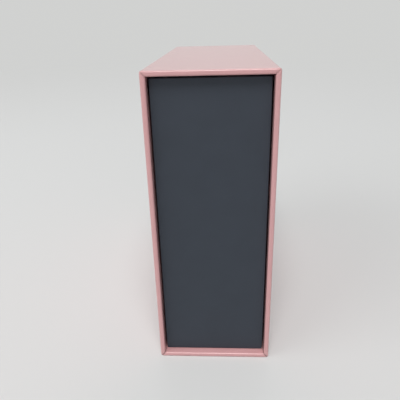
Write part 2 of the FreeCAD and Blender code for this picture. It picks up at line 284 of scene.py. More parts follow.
def add_piece(mesh, material, body, slot, *replaced):
    """Puts a mesh into the scene as a piece that rides on a body and stands for CAD nodes."""
    piece = bpy.data.objects.new(mesh.name, mesh)
    bpy.context.scene.collection.objects.link(piece)
    mesh.materials.append(material)
    mesh.polygons.foreach_set("use_smooth", np.ones(len(mesh.polygons), bool))
    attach(piece, body)
    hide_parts(*replaced)
    return piece


def thicken(piece, thickness):
    """Gives a sheet its thickness, behind the side that shows."""
    solidify = piece.modifiers.new("thickness", "SOLIDIFY")
    solidify.thickness = thickness
    solidify.offset = -1.0


def combine(tree, operation, first, second):
    """Two amounts multiplied, or the larger of them, as the operation says."""
    node = tree.nodes.new("ShaderNodeMath")
    node.operation = operation
    tree.links.new(first, node.inputs[0])
    tree.links.new(second, node.inputs[1])
    return node.outputs["Value"]


def paper_finish(name, colour, core, roughness, tooth, mottle=PAPER_MOTTLE, **sockets):
    """Dyed cover paper: soft clouds in the colour, fine fibres, a toothed skin, and a paler core.

    The core shows a little where the piece's own attribute named fold says that the sheet is bent. Painted
    shadow, a dark shade of the colour, lies where the attribute named crease says that two flaps meet.
    """
    material, tree, shader, coords = new_finish(name, **sockets)
    clouds = grain(tree, coords, PAPER_CLOUD)
    fibres = grain(tree, coords, PAPER_FIBRE, detail=5.0, distortion=0.8)
    pores = grain(tree, coords, PAPER_PORE, detail=2.0)
    dyed = ramp(tree, clouds, NOISE_MAIN, shades(colour, (1 - mottle, 1 + mottle)))
    threads = ramp(tree, fibres, FIBRE_PLACES, shades(colour, FIBRE_SHADES))
    skin = tint(tree, span(tree, clouds, NOISE_WHOLE, FIBRE_SHARE), dyed, threads)
    bare = ramp(tree, clouds, NOISE_MAIN, shades(core, BARE_SHADES))
    # Painted shadow: a dark shade of the paper, laid into the fold lines where the flaps meet.
    painted_fold_shadow = ramp(tree, fibres, NOISE_MAIN, shades(colour, FOLD_SHADOW_SHADES))
    for attribute, over, strength in (("fold", bare, FOLD_WEAR), ("crease", painted_fold_shadow, FOLD_SHADOW_STRENGTH)):
        marked = tree.nodes.new("ShaderNodeAttribute")
        marked.attribute_name = attribute
        wear_and_shadow = span(tree, fibres, WEAR_AND_SHADOW_FIBRES, strength)
        skin = tint(tree, combine(tree, "MULTIPLY", marked.outputs["Fac"], wear_and_shadow), skin, over)
    rough = span(tree, pores, NOISE_MAIN, [roughness + change for change in PORE_ROUGHNESS])
    set_skin(tree, shader, skin, rough, (fibres, FIBRE_DEPTH, tooth), (pores, PORE_DEPTH, tooth))
    return material


def lining_sheet():
    """The lining's inner face: a straight run along Y, carried round the inside from joint to joint."""
    start, end = (-1, -1, 225 - LINING_JOINT, 180), (-1, -1, -90, -135 + LINING_JOINT)
    walk = walk_round([start, (-1, 1, 180, 90), (1, 1, 90, 0), (1, -1, 0, -90), end])
    along = np.linspace(lining_high[1], lining_low[1], LINING_STEPS)
    return wrapped_skin(walk, lining_low, lining_high, LINING_PAPER, along, LINING_BEND, (0, 2, 1))


blush_lining = paper_finish("blush_lining_paper", LINING_BLUSH, BARE_PULP, LINING_ROUGHNESS, LINING_TOOTH,
                            Specular_IOR_Level=LINING_SHINE)
lining = add_piece(surface("sleeve_lining_sheet", lining_sheet()), blush_lining,
                   "sleeve", "blush_lining_paper", "sleeve_lining")
thicken(lining, LINING_PAPER)


# Sleeve cover and base papers: blush paper glued over the boards and turned in over both rims.
# The cover goes over the left, top and right, and the base sheet meets it along the lower edges.
# A thin clear film is rolled onto the paper. At a rim's corners the flaps lap and leave a fold line, with
# painted shadow in it.
BLUSH = (0.635, 0.344, 0.349)
BLUSH_ROUGHNESS = 0.27
BLUSH_TOOTH = 0.3
BLUSH_SHINE = 0.3
FILM_SHARE = 0.55
FILM_ROUGHNESS = 0.16
COVER_PAPER = 0.2 * MM
RIM_ROUND = 0.85 * MM
CORNER_ROUND = 1.0 * MM
INNER_BEND = 0.25 * MM
FOLD_DEPTH = 0.18 * MM
FOLD_WIDTH = 0.4 * MM
INNER_FOLD = 0.6
INNER_WEAR = 0.5
LAP_STEP = 0.06 * MM
LAP_RUN = 4 * MM
LAP_SHARPNESS = 5
SEAM_DEPTH = 0.05 * MM
SEAM_PLACE = -0.999
# Share of the painted fold-line shadow that the upper corners get, where less shade falls.
UPPER_FOLD_SHADOW = 0.4
EDGE_STEPS = 9
RIM_STEPS = 6
RUN_STEPS = 14
COVER_CORNERS = [(-1, -1, 225, 180), (-1, 1, 180, 90), (1, 1, 90, 0), (1, -1, 0, -45)]
BASE_CORNERS = [(1, -1, -45, -90), (-1, -1, -90, -135)]


def quarter_circle(steps):
    """The sines and the cosines of evenly spaced angles from 0 to 90 degrees."""
    angles = np.radians(np.linspace(0, 90, steps))
    return np.sin(angles), np.cos(angles)


def rim_profile():
    """The sheet's run from one turned-in end over both rims to the other: insets, places along Y, and
    how far its outward side leans to the inside of the sleeve and along Y. Edges are quarter circles."""
    sine, cosine = quarter_circle(EDGE_STEPS)
    ease = sleeve_high[1] - RIM_ROUND
    inner = np.linspace(lining_high[1], ease, RUN_STEPS)[:-1]
    outer = np.linspace(ease, 0, RUN_STEPS)[1:]
    across = np.linspace(sleeve_wall - RIM_ROUND, RIM_ROUND, RIM_STEPS)[1:-1]
    flat = np.ones_like(across)
    inner_edge = sleeve_wall - RIM_ROUND * (1 - cosine)
    inset = [0 * inner + sleeve_wall, inner_edge, across, RIM_ROUND * (1 - sine), 0 * outer]
    along = [inner, ease + RIM_ROUND * sine, flat * sleeve_high[1], ease + RIM_ROUND * cosine, outer]
    lean_in = [0 * inner + 1, cosine, 0 * flat, -sine, 0 * outer - 1]
    lean_out = [0 * inner, sine, flat, cosine, 0 * outer]
    halves = [np.concatenate(runs) for runs in (inset, along, lean_in, lean_out)]
    return [np.concatenate([sign * half, half[-2::-1]]) for sign, half in zip((1, -1, 1, -1), halves)]


def mark(mesh, **amounts):
    """Keeps an amount from 0 to 1 at each point, under its name, for the paper's finish."""
    for name, amount in amounts.items():
        values = mesh.attributes.new(name, "FLOAT", "POINT").data
        values.foreach_set("value", amount.astype(np.float32).ravel())


def from_corner(walk, low, high, inset, radius, axes):
    """How far along a wrapped skin each point lies from the middle of the nearest corner: its way along
    the side to the corner, and along the corner's arc to the middle of it."""
    places, angles = walk
    halves = (high - low)[list(axes[:2])] / 2
    shares = zip(1 - np.abs(places.T), halves)
    side = sum(share[:, None] * (half - inset - radius) for share, half in shares)
    return side + radius * np.abs(np.radians(np.degrees(angles) % 90 - 45))[:, None]


def sleeve_sheet(name, corners):
    """The rim's profile carried round part of the sleeve, pressed in at the fold lines of the corners.

    A fold line is a groove, a bell curve of the way from the corner's middle. Beside it the flaps of
    the top and bottom lie a little lower, which fades out along the rim. The lower edges have a seam.
    """
    walk, axes = walk_round(corners), (0, 2, 1)
    (places, angles), (inset, along, lean_in, lean_out) = walk, rim_profile()
    radius = np.maximum(CORNER_ROUND - inset, INNER_BEND)
    away = from_corner(walk, sleeve_low, sleeve_high, inset, radius, axes)
    groove = np.exp(-(away / FOLD_WIDTH) ** 2)
    level = 0.5 - 0.5 * np.tanh(LAP_SHARPNESS * (np.abs(np.cos(angles)) - np.abs(np.sin(angles))))
    lap = level[:, None] * np.exp(-away / LAP_RUN)
    inside, outside = np.clip(lean_in, 0, 1), np.clip(-lean_in, 0, 1)
    at_rim = np.maximum(np.abs(lean_out), INNER_FOLD * inside)
    seam = groove * (places[:, 1:] < SEAM_PLACE) * outside
    pressed = at_rim * (FOLD_DEPTH * groove + LAP_STEP * lap) + SEAM_DEPTH * seam
    inset, along = inset - lean_in * pressed, along - lean_out * pressed
    radius = np.maximum(CORNER_ROUND - inset, INNER_BEND)
    mesh = surface(name, wrapped_skin(walk, sleeve_low, sleeve_high, inset, along, radius, axes))
    edge = np.sin(2 * angles)[:, None] ** 2 * outside ** 2
    rim = 2 * np.abs(lean_out) * (outside + INNER_WEAR * inside)
    # Painted shadow in the fold lines: full at the lower corners, weaker at the upper ones.
    fold_shadow_share = UPPER_FOLD_SHADOW + (1 - UPPER_FOLD_SHADOW) * (places[:, 1:] < 0)
    mark(mesh, fold=np.maximum(edge, rim) * (1 - groove), crease=at_rim * groove * fold_shadow_share)
    return mesh


blush = paper_finish("blush_paper", BLUSH, BARE_PULP, BLUSH_ROUGHNESS, BLUSH_TOOTH,
                     Specular_IOR_Level=BLUSH_SHINE, Coat_Weight=FILM_SHARE, Coat_Roughness=FILM_ROUGHNESS)
cover = add_piece(sleeve_sheet("sleeve_cover_sheet", COVER_CORNERS), blush,
                  "sleeve", "blush_paper", "sleeve_cover_paper")
thicken(cover, COVER_PAPER)
base = add_piece(sleeve_sheet("sleeve_base_sheet", BASE_CORNERS), blush,
                 "sleeve", "blush_paper", "sleeve_base_paper")
thicken(base, COVER_PAPER)


# Drawer boards: a base of 1.8 mm greyboard with four walls glued on it, and kraft tape round the
# corners. They and the patch that holds the ribbon's tails are hidden under paper and velvet.
dress(greyboard, "drawer_base_board", "drawer_front_board", "drawer_back_board")
dress(greyboard, "drawer_lower_board", "drawer_upper_board")
dress(kraft, "drawer_corner_tapes", "ribbon_patch")


# Drawer cover paper: matte slate paper over the four walls, turned under the base and in over the rim.
# The end of it is the dark panel inside the sleeve's rim. A slit in the far end lets the ribbon out,
# and a sheet of the same paper covers the turned-under edges.
SLATE = (0.0352, 0.0435, 0.058)
SLATE_PULP = (0.16, 0.17, 0.19)
SLATE_ROUGHNESS = 0.62
SLATE_TOOTH = 0.4
SLATE_MOTTLE = 0.05
SLATE_SHINE = 0.35
DRAWER_PAPER = 0.2 * MM
DRAWER_ROUND = 0.5 * MM
DRAWER_TURN_IN = 14 * MM
DRAWER_TURN_UNDER = 15 * MM
DRAWER_FOLD_DEPTH = 0.12 * MM
DRAWER_CORNERS = [(1, -1, -90, 0), (1, 1, 0, 90), (-1, 1, 90, 180), (-1, -1, 180, 270)]
TRAY_EDGE_STEPS = 7
TRAY_RIM_STEPS = 5
TRAY_TURN_STEPS = 10
TRAY_WALL_STEPS = 22
TRAY_SIDE_STEPS = 28
RIBBON_THICKNESS = 0.35 * MM
RIBBON_CLEARANCE = 0.15 * MM
SLIT_HALF = RIBBON_THICKNESS + RIBBON_CLEARANCE
drawer_low, drawer_high = np.array(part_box("drawer_cover_paper"))
space_low, space_high = np.array(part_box("drawer_floor_velvet"))
ribbon_low, ribbon_high = np.array(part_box("pull_ribbon"))
drawer_wall = drawer_high[1] - space_high[1] + DRAWER_PAPER


def snap(values, among, *stops):
    """The values again, with the nearest of those marked among them moved onto each stop."""
    values = values.copy()
    for stop in stops:
        values[np.argmin(np.where(among, np.abs(values - stop), np.inf))] = stop
    return values


def tray_profile():
    """The sheet's run from under the base, up the wall and over the rim to its turned-in end: insets,
    places along X, and how far its outward side leans inwards and along X. Edges are quarter circles."""
    sine, cosine = quarter_circle(TRAY_EDGE_STEPS)
    foot, top = drawer_low[0] + DRAWER_ROUND, drawer_high[0] - DRAWER_ROUND
    under = np.linspace(DRAWER_TURN_UNDER, DRAWER_ROUND, TRAY_TURN_STEPS)[:-1]
    wall = np.linspace(foot, top, TRAY_WALL_STEPS)[1:-1]
    wall = snap(wall, wall < top, -SLIT_HALF, SLIT_HALF)
    across = np.linspace(DRAWER_ROUND, drawer_wall - DRAWER_ROUND, TRAY_RIM_STEPS)[1:-1]
    inner = np.linspace(top, drawer_high[0] - DRAWER_TURN_IN, TRAY_TURN_STEPS)[1:]
    flat = np.ones_like(across)
    rim_in = drawer_wall - DRAWER_ROUND * (1 - sine)
    low_edge, high_edge = DRAWER_ROUND * (1 - sine), DRAWER_ROUND * (1 - cosine)
    inset = [under, low_edge, 0 * wall, high_edge, across, rim_in, 0 * inner + drawer_wall]
    along = [0 * under + drawer_low[0], foot - DRAWER_ROUND * cosine, wall, top + DRAWER_ROUND * sine,
             flat * drawer_high[0], top + DRAWER_ROUND * cosine, inner]
    lean_in = [0 * under, -sine, 0 * wall - 1, -cosine, 0 * flat, sine, 0 * inner + 1]
    lean_up = [0 * under - 1, -cosine, 0 * wall, sine, flat, cosine, 0 * inner]
    return [np.concatenate(runs) for runs in (inset, along, lean_in, lean_up)]


def drawer_sheet(name):
    """The tray's profile carried round the four walls, with fold lines over the rim and under the base,
    which are bell curves of the way from each corner's middle, and with the ribbon's slit left out."""
    places, angles = walk_round(DRAWER_CORNERS, closed=True, side_steps=TRAY_SIDE_STEPS)
    slit = (ribbon_high[2] - ribbon_low[2]) / 2 + RIBBON_CLEARANCE
    share = slit / ((drawer_high[2] - drawer_low[2]) / 2 - DRAWER_ROUND)
    far_end = (angles == 0) & (np.abs(places[:, 1]) < 1)
    places[:, 1] = snap(places[:, 1], far_end, -share, share)
    walk, axes = (places, angles), (1, 2, 0)
    inset, along, lean_in, lean_up = tray_profile()
    radius = np.maximum(DRAWER_ROUND - inset, INNER_BEND)
    away = from_corner(walk, drawer_low, drawer_high, inset, radius, axes)
    groove = np.exp(-(away / FOLD_WIDTH) ** 2)
    at_rim = np.maximum(np.abs(lean_up), INNER_FOLD * np.clip(lean_in, 0, 1))
    pressed = DRAWER_FOLD_DEPTH * groove * at_rim
    inset, along = inset - lean_in * pressed, along - lean_up * pressed
    radius = np.maximum(DRAWER_ROUND - inset, INNER_BEND)
    grid = wrapped_skin(walk, drawer_low, drawer_high, inset, along, radius, axes)
    ring = np.concatenate([grid, grid[:1]])
    middle = (ring[:-1, :-1] + ring[1:, :-1] + ring[1:, 1:] + ring[:-1, 1:]) / 4
    off_slit = np.abs(middle - (ribbon_low + ribbon_high) / 2)
    holes = (off_slit[..., 0] < SLIT_HALF) & (off_slit[..., 2] < slit) & (middle[..., 1] > space_high[1])
    mesh = surface(name, grid, round_u=True, holes=holes)
    edge = np.sin(2 * angles)[:, None] ** 2 * np.clip(-lean_in, 0, 1) ** 2
    mark(mesh, fold=np.maximum(edge, 2 * np.abs(lean_in * lean_up)))
    return mesh


slate = paper_finish("slate_paper", SLATE, SLATE_PULP, SLATE_ROUGHNESS, SLATE_TOOTH, SLATE_MOTTLE,
                     Specular_IOR_Level=SLATE_SHINE)
drawer_cover = add_piece(drawer_sheet("drawer_cover_sheet"), slate,
                         "drawer", "slate_paper", "drawer_cover_paper")
thicken(drawer_cover, DRAWER_PAPER)
dress(slate, "drawer_base_paper")


# Drawer lining: dove-grey velvet, one piece laid on the floor and a strip glued round the walls.
# The strip's upper edge is turned back on itself, and covers the ends of the paper and the ribbon.
DOVE = (0.42, 0.4, 0.41)
VELVET_SHEEN = {"Sheen_Weight": 0.55, "Sheen_Roughness": 0.35, "Sheen_Tint": (0.86, 0.84, 0.86, 1.0),
                "Specular_IOR_Level": 0.15}
VELVET_ROUGHNESS = (0.82, 0.95)
NAP_SIZE = 13 * MM
NAP_PLACES = (0.32, 0.5, 0.68)
NAP_SHADES = (0.84, 1.0, 1.1)
PILE_SIZE = 0.32 * MM
PILE_PLACES = (0.3, 0.5, 0.7)
PILE_SHADES = (0.62, 1.0, 1.22)
PILE_SHARE = (0.35, 0.65)
PILE_RELIEF = (0.14 * MM, 0.6)
TUFT_SIZE = 0.9 * MM
TUFT_RELIEF = (0.12 * MM, 0.35)
FLOOR_STEPS = 49
HEM = 5 * MM
HEM_BACK = 0.22 * MM
HEM_STEPS = 5
HEM_ROUND_STEPS = 13
STRIP_BACK = 0.48 * MM
STRIP_BEND = 0.8 * MM
STRIP_FACE_STEPS = 16
STRIP_BACK_STEPS = 12
wall_low, wall_high = np.array(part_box("drawer_wall_velvet"))
floor_top = space_high[0]
velvet_pile = floor_top - space_low[0]


def velvet_finish():
    """Velvet: a tufted pile of fine points, brushed into soft dark and pale patches, with a sheen."""
    material, tree, shader, coords = new_finish("dove_velvet", **VELVET_SHEEN)
    nap = grain(tree, coords, NAP_SIZE, detail=2.0, distortion=1.2)
    pile = grain(tree, coords, PILE_SIZE)
    tufts = grain(tree, coords, TUFT_SIZE, detail=4.0, distortion=0.5)
    brushed = ramp(tree, nap, NAP_PLACES, shades(DOVE, NAP_SHADES))
    points = ramp(tree, pile, PILE_PLACES, shades(DOVE, PILE_SHADES))
    colour = tint(tree, span(tree, tufts, NOISE_MAIN, PILE_SHARE), brushed, points)
    rough = span(tree, nap, NOISE_MAIN, VELVET_ROUGHNESS)
    set_skin(tree, shader, colour, rough, (tufts, *TUFT_RELIEF), (pile, *PILE_RELIEF))
    return material


def floor_sheet():
    """The floor's upper face: a level rectangle over Y and Z."""
    along_y = np.linspace(space_low[1], space_high[1], FLOOR_STEPS)
    along_z = np.linspace(space_low[2], space_high[2], FLOOR_STEPS)
    grid_y, grid_z = np.meshgrid(along_y, along_z, indexing="ij")
    return np.stack([np.full_like(grid_y, floor_top), grid_y, grid_z], axis=-1)


def wall_strip():
    """The strip's closed section, down its face, up its back and over the hem, carried round the walls."""
    half = np.radians(np.linspace(180, 0, HEM_ROUND_STEPS))
    hem_round = (velvet_pile - HEM_BACK) / 2
    crest = wall_high[0] - hem_round
    face = np.linspace(crest, floor_top, STRIP_FACE_STEPS)[1:]
    back = np.linspace(floor_top, wall_high[0] - HEM, STRIP_BACK_STEPS)
    hem = np.linspace(wall_high[0] - HEM + STRIP_BACK, crest, HEM_STEPS)[:-1]
    over = HEM_BACK + hem_round * (1 + np.cos(half))
    inset = np.concatenate([0 * face + velvet_pile, 0 * back + STRIP_BACK, 0 * hem + HEM_BACK, over])
    along = np.concatenate([face, back, hem, crest + hem_round * np.sin(half)])
    walk = walk_round(DRAWER_CORNERS, closed=True)
    return wrapped_skin(walk, wall_low, wall_high, inset, along, STRIP_BEND, (1, 2, 0))


velvet = velvet_finish()
floor_velvet = add_piece(surface("floor_velvet_sheet", floor_sheet()), velvet,
                         "drawer", "dove_velvet", "drawer_floor_velvet")
thicken(floor_velvet, velvet_pile)
wall_velvet = add_piece(surface("wall_velvet_strip", wall_strip(), round_u=True, round_v=True), velvet,
                        "drawer", "dove_velvet", "drawer_wall_velvet")


# Pull ribbon: slate satin ribbon folded double, with a soft loop at the end that is pulled.
# It goes through the slit in the far end, and its two tails are glued flat to the inside of that wall.
RIBBON_SLATE = (0.06, 0.066, 0.08)
RIBBON_LOOP = 1.8 * MM
RIBBON_BEND = 0.4 * MM
LOOP_SWELL = 9 * MM
LEG_PARTING = 0.03 * MM
TAIL_STEPS = 12
LEG_STEPS = 40
SELVAGE = 0.6 * MM
SELVAGE_RAISE = 0.05 * MM
SELVAGE_EASE = 0.06 * MM
SELVAGE_PLACES = (0.94, 0.98, 1.0)
MIDDLE_PLACE = 0.9
MIDDLE_STEPS = 7
SATIN_SHEEN = {"Sheen_Weight": 0.15, "Specular_IOR_Level": 0.6}
SATIN_ROUGHNESS = (0.3, 0.42)
RIB_PITCH = 0.45 * MM
RIB_WANDER = 0.4
RIB_RELIEF = (0.03 * MM, 0.4)
WAVE_RADIANS = 20
FLOAT_SIZE = (0.12 * MM, 2.5 * MM, MM)
FLOAT_PLACES = (0.3, 0.5, 0.7)
FLOAT_SHADES = (0.8, 1.0, 1.25)
FLOAT_SHARE = (0.3, 0.7)
FLOAT_RELIEF = (0.015 * MM, 0.4)
LIE_SIZE = (5 * MM, 14 * MM, MM)
LIE_SHADES = (0.92, 1.12)


def ribbon_path():
    """The ribbon's middle line in X and Y: a tail, a bend into the slit, a leg that swells smoothly out
    to the loop's half circle, and the same mirrored back to the other tail."""
    sine, cosine = quarter_circle(EDGE_STEPS)
    thin = RIBBON_THICKNESS / 2
    leg, loop = thin + LEG_PARTING, RIBBON_LOOP - thin
    tail_y, loop_y = ribbon_low[1] + thin, ribbon_high[1] - RIBBON_LOOP
    leg_y = np.linspace(tail_y + RIBBON_BEND, loop_y, LEG_STEPS)[1:]
    rise = np.clip(1 - (loop_y - leg_y) / LOOP_SWELL, 0, 1)
    leg_x = leg + (loop - leg) * rise ** 2 * (3 - 2 * rise)
    tail_x = np.linspace(ribbon_high[0], leg + RIBBON_BEND, TAIL_STEPS)[:-1]
    bend_x, bend_y = RIBBON_BEND * (1 - sine), RIBBON_BEND * (1 - cosine)
    across = np.concatenate([tail_x, leg + bend_x, leg_x, loop * cosine[1:]])
    out = np.concatenate([0 * tail_x + tail_y, tail_y + bend_y, leg_y, loop_y + loop * sine[1:]])
    whole = [np.concatenate([across, -across[-2::-1]]), np.concatenate([out, out[-2::-1]])]
    return np.stack(whole, axis=1)


def ribbon_strip(name):
    """The path carried across the width as a closed flat section, with a raised selvage at both edges.

    The weave map gives each point its place across the ribbon and along it, in metres.
    """
    path = ribbon_path()
    step = np.gradient(path, axis=0)
    step /= np.linalg.norm(step, axis=1)[:, None]
    side = np.stack([step[:, 1], -step[:, 0]], axis=1)
    width, middle = ribbon_high[2] - ribbon_low[2], (ribbon_high[2] + ribbon_low[2]) / 2
    half = np.concatenate([np.linspace(0, MIDDLE_PLACE, MIDDLE_STEPS), SELVAGE_PLACES])
    share = np.concatenate([-half[:0:-1], half])
    from_edge = (1 - np.abs(share)) * width / 2
    thick = RIBBON_THICKNESS / 2 - SELVAGE_RAISE * (from_edge > SELVAGE) - SELVAGE_EASE * (from_edge == 0)
    place = np.concatenate([share, share[::-1]]) * width / 2
    raised = np.concatenate([-thick, thick[::-1]])
    grid = np.empty((len(place), len(path), 3))
    grid[..., :2] = path + raised[:, None, None] * side
    grid[..., 2] = middle + place[:, None]
    mesh = surface(name, grid, round_u=True, caps=True)
    along = np.concatenate([[0], np.cumsum(np.linalg.norm(np.diff(path, axis=0), axis=1))])
    spots = np.stack(np.broadcast_arrays(place[:, None], along), axis=-1).reshape(-1, 2)
    corners = np.empty(len(mesh.loops), np.int32)
    mesh.loops.foreach_get("vertex_index", corners)
    mesh.uv_layers.new(name="weave").uv.foreach_set("vector", spots[corners].astype(np.float32).ravel())
    return mesh, along[-1]


def satin_finish():
    """Satin ribbon on its own weave map: fine ribs of weft across it, and long floats of warp along it.

    The wave that makes the ribs turns through a fixed number of radians over a length of one metre.
    """
    material, tree, shader, _ = new_finish("slate_satin", **SATIN_SHEEN)
    weave = tree.nodes.new("ShaderNodeUVMap")
    weave.uv_map = "weave"
    ribs = tree.nodes.new("ShaderNodeTexWave")
    ribs.bands_direction = "Y"
    ribs.inputs["Scale"].default_value = 2 * np.pi / (WAVE_RADIANS * RIB_PITCH)
    ribs.inputs["Distortion"].default_value = RIB_WANDER
    tree.links.new(weave.outputs["UV"], ribs.inputs["Vector"])
    floats = grain(tree, weave.outputs["UV"], FLOAT_SIZE, detail=4.0)
    lie = grain(tree, weave.outputs["UV"], LIE_SIZE, detail=2.0)
    threads = ramp(tree, floats, FLOAT_PLACES, shades(RIBBON_SLATE, FLOAT_SHADES))
    folds = ramp(tree, lie, NOISE_MAIN, shades(RIBBON_SLATE, LIE_SHADES))
    colour = tint(tree, span(tree, ribs.outputs["Fac"], NOISE_WHOLE, FLOAT_SHARE), folds, threads)
    rough = span(tree, floats, NOISE_MAIN, SATIN_ROUGHNESS)
    set_skin(tree, shader, colour, rough, (ribs.outputs["Fac"], *RIB_RELIEF), (floats, *FLOAT_RELIEF))
    return material


ribbon_mesh, ribbon_length = ribbon_strip("pull_ribbon_satin")
ribbon = add_piece(ribbon_mesh, satin_finish(), "drawer", "slate_satin", "pull_ribbon")


# Dividers: two greyboards, each in a folded skin of velvet, halved into each other over the floor.
# The long one shuts off the ring rolls, and the short one parts the two compartments.
DIVIDER_EDGE = 0.8 * MM
DIVIDER_CORNER = 1.2 * MM
DIVIDER_STEPS = 7
HALVING_CLEARANCE = 0.15 * MM
long_low, long_high = np.array(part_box("long_divider_velvet"))
short_low, short_high = np.array(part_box("short_divider_velvet"))
halving = (long_low[0] + long_high[0]) / 2


def eased(outline, rounded):
    """A closed outline with right-angled corners, of which the marked ones become quarter circles."""
    outline = np.array(outline)
    leaving = np.roll(outline, -1, axis=0) - outline
    leaving /= np.linalg.norm(leaving, axis=1)[:, None]
    coming = np.roll(leaving, 1, axis=0)
    sine, cosine = quarter_circle(DIVIDER_STEPS)
    out = sine[:, None] * coming[:, None] - cosine[:, None] * leaving[:, None]
    arcs = (outline + DIVIDER_CORNER * (leaving - coming))[:, None] + DIVIDER_CORNER * out
    corners = [arc if bent else point[None] for arc, point, bent in zip(arcs, outline, rounded)]
    return np.concatenate(corners)


def plate(name, outline, first, last, axes):
    """A board in its skin: an outline carried from the first face to the last, and eased at both.

    The outline goes round with its inside on the left. Over a quarter circle at each face its points
    move in along the mitres of their two edges. One face each closes the two ends.
    """
    ahead = np.roll(outline, -1, axis=0) - outline
    ahead /= np.linalg.norm(ahead, axis=1)[:, None]
    inward = np.stack([-ahead[:, 1], ahead[:, 0]], axis=1)
    both = inward + np.roll(inward, 1, axis=0)
    mitre = 2 * both / np.sum(both ** 2, axis=1)[:, None]
    sine, cosine = quarter_circle(DIVIDER_STEPS)
    inset = DIVIDER_EDGE * (1 - sine)
    depth = np.sign(last - first) * DIVIDER_EDGE * (1 - cosine)
    inset = np.concatenate([inset, inset[::-1]])
    across = np.concatenate([first + depth, last - depth[::-1]])
    grid = np.empty((len(outline), len(inset), 3))
    grid[..., axes[:2]] = outline[:, None] + inset[:, None] * mitre[:, None]
    grid[..., axes[2]] = across
    return surface(name, grid, round_u=True, caps=True)


def long_outline():
    """The long divider over X and Z, open from above where the short one drops in."""
    slot_low, slot_high = short_low[2] - HALVING_CLEARANCE, short_high[2] + HALVING_CLEARANCE
    foot, top, slot_foot = long_low[0], long_high[0], halving - HALVING_CLEARANCE
    points = [(foot, long_low[2]), (top, long_low[2]), (top, slot_low), (slot_foot, slot_low),
              (slot_foot, slot_high), (top, slot_high), (top, long_high[2]), (foot, long_high[2])]
    return eased(points, [False, True, False, False, False, False, True, False])


def short_outline():
    """The short divider over X and Y, cut away from below where it drops over the long one."""
    foot, top, notch = short_low[0], short_high[0], long_low[1] - HALVING_CLEARANCE
    points = [(foot, short_low[1]), (top, short_low[1]), (top, short_high[1]), (halving, short_high[1]),
              (halving, notch), (foot, notch)]
    return eased(points, [False, True, True, False, False, False])


long_skin = plate("long_divider_skin", long_outline(), long_high[1], long_low[1], [0, 2, 1])
add_piece(long_skin, velvet, "drawer", "dove_velvet", "long_divider_velvet")
short_skin = plate("short_divider_skin", short_outline(), short_low[2], short_high[2], [0, 1, 2])
add_piece(short_skin, velvet, "drawer", "dove_velvet", "short_divider_velvet")
dress(greyboard, "long_divider_board", "short_divider_board")


# Ring rolls: five bars of foam in velvet skins, laid side by side so that they grip rings between them.
# The foam presses the skin out between the ends and the foot, which is glued to the floor.
ROLL_COUNT = 5
ROLL_SLACK = 0.3 * MM
ROLL_SWELL = 0.5 * MM
ROLL_END = 1.6 * MM
ROLL_FOOT_ROUND = 1.0 * MM
ROLL_TOP_SHARE = 0.94
ROLL_STEPS = 60
ROLL_VOXEL = 1.1 * MM
ROLL_RIPPLE = 0.12 * MM
ROLL_RIPPLE_LENGTH = 31 * MM
ROLL_RIPPLE_SHIFT = 2.4
FOOT_HOLD = 0.4 * MM
ENLARGED = 6.0
PRESSURE = 4.0
LAST_FRAME = 20


def roll_form(low, high):
    """A loaf: a section with flat sides and a round top, carried along Z and drawn in at both ends by
    quarter circles. It starts below the floor, and what lies under the floor is pressed flat on it."""
    places, angles = walk_round(DRAWER_CORNERS, closed=True)
    sine, cosine = quarter_circle(EDGE_STEPS)
    ease, drawn = ROLL_END * sine, ROLL_END * (1 - cosine)
    run = np.linspace(low[2] + ROLL_END, high[2] - ROLL_END, ROLL_STEPS)[1:-1]
    along = np.concatenate([low[2] + ROLL_END - ease[::-1], run, high[2] - ROLL_END + ease])
    inset = np.concatenate([drawn[::-1], 0 * run, drawn])
    rounding = ROLL_TOP_SHARE * ((high[1] - low[1]) / 2 - inset)
    radius = np.where(places[:, :1] > 0, rounding, ROLL_FOOT_ROUND)
    below = low - np.array([2 * ROLL_END, 0, 0])
    grid = wrapped_skin((places, angles), below, high, inset, along, radius, (0, 1, 2))
    grid[..., 0] = np.maximum(grid[..., 0], low[0])
    return grid


def linked(name, data):
    """A bare object in the scene, for work on its mesh, or for a light or a camera."""
    blank = bpy.data.objects.new(name, data)
    bpy.context.scene.collection.objects.link(blank)
    return blank


def points_of(mesh):
    """The places of a mesh's points."""
    flat = np.empty(3 * len(mesh.vertices), np.float32)
    mesh.vertices.foreach_get("co", flat)
    return flat.reshape(-1, 3).astype(float)


def place_points(mesh, points):
    """Moves a mesh's points to these places."""
    mesh.vertices.foreach_set("co", points.astype(np.float32).ravel())
    mesh.update()


def evened(mesh, voxel):
    """A closed mesh again, with even four-sided faces of about that size."""
    blank = linked("evened", mesh)
    remesh = blank.modifiers.new("even", "REMESH")
    remesh.mode = "VOXEL"
    remesh.voxel_size = voxel
    even = bpy.data.meshes.new_from_object(blank.evaluated_get(bpy.context.evaluated_depsgraph_get()))
    bpy.data.objects.remove(blank)
    return even


def blown_up(mesh):
    """Where a closed mesh's points go when it is blown up as cloth, with its foot held and no weight."""
    blank = linked("blown_up", mesh.copy())
    start = points_of(mesh)
    foot = np.flatnonzero(start[:, 0] < start[:, 0].min() + FOOT_HOLD * ENLARGED)
    blank.vertex_groups.new(name="held").add(foot.tolist(), 1.0, "REPLACE")
    cloth = blank.modifiers.new("cloth", "CLOTH")
    cloth.settings.use_pressure = True
    cloth.settings.uniform_pressure_force = PRESSURE
    cloth.settings.vertex_group_mass = "held"
    cloth.settings.effector_weights.gravity = 0.0
    cloth.point_cache.frame_end = LAST_FRAME
    for number in range(1, LAST_FRAME + 1):
        bpy.context.scene.frame_set(number)
    moved = points_of(blank.evaluated_get(bpy.context.evaluated_depsgraph_get()).data)
    bpy.context.scene.frame_set(1)
    bpy.data.objects.remove(blank)
    return moved


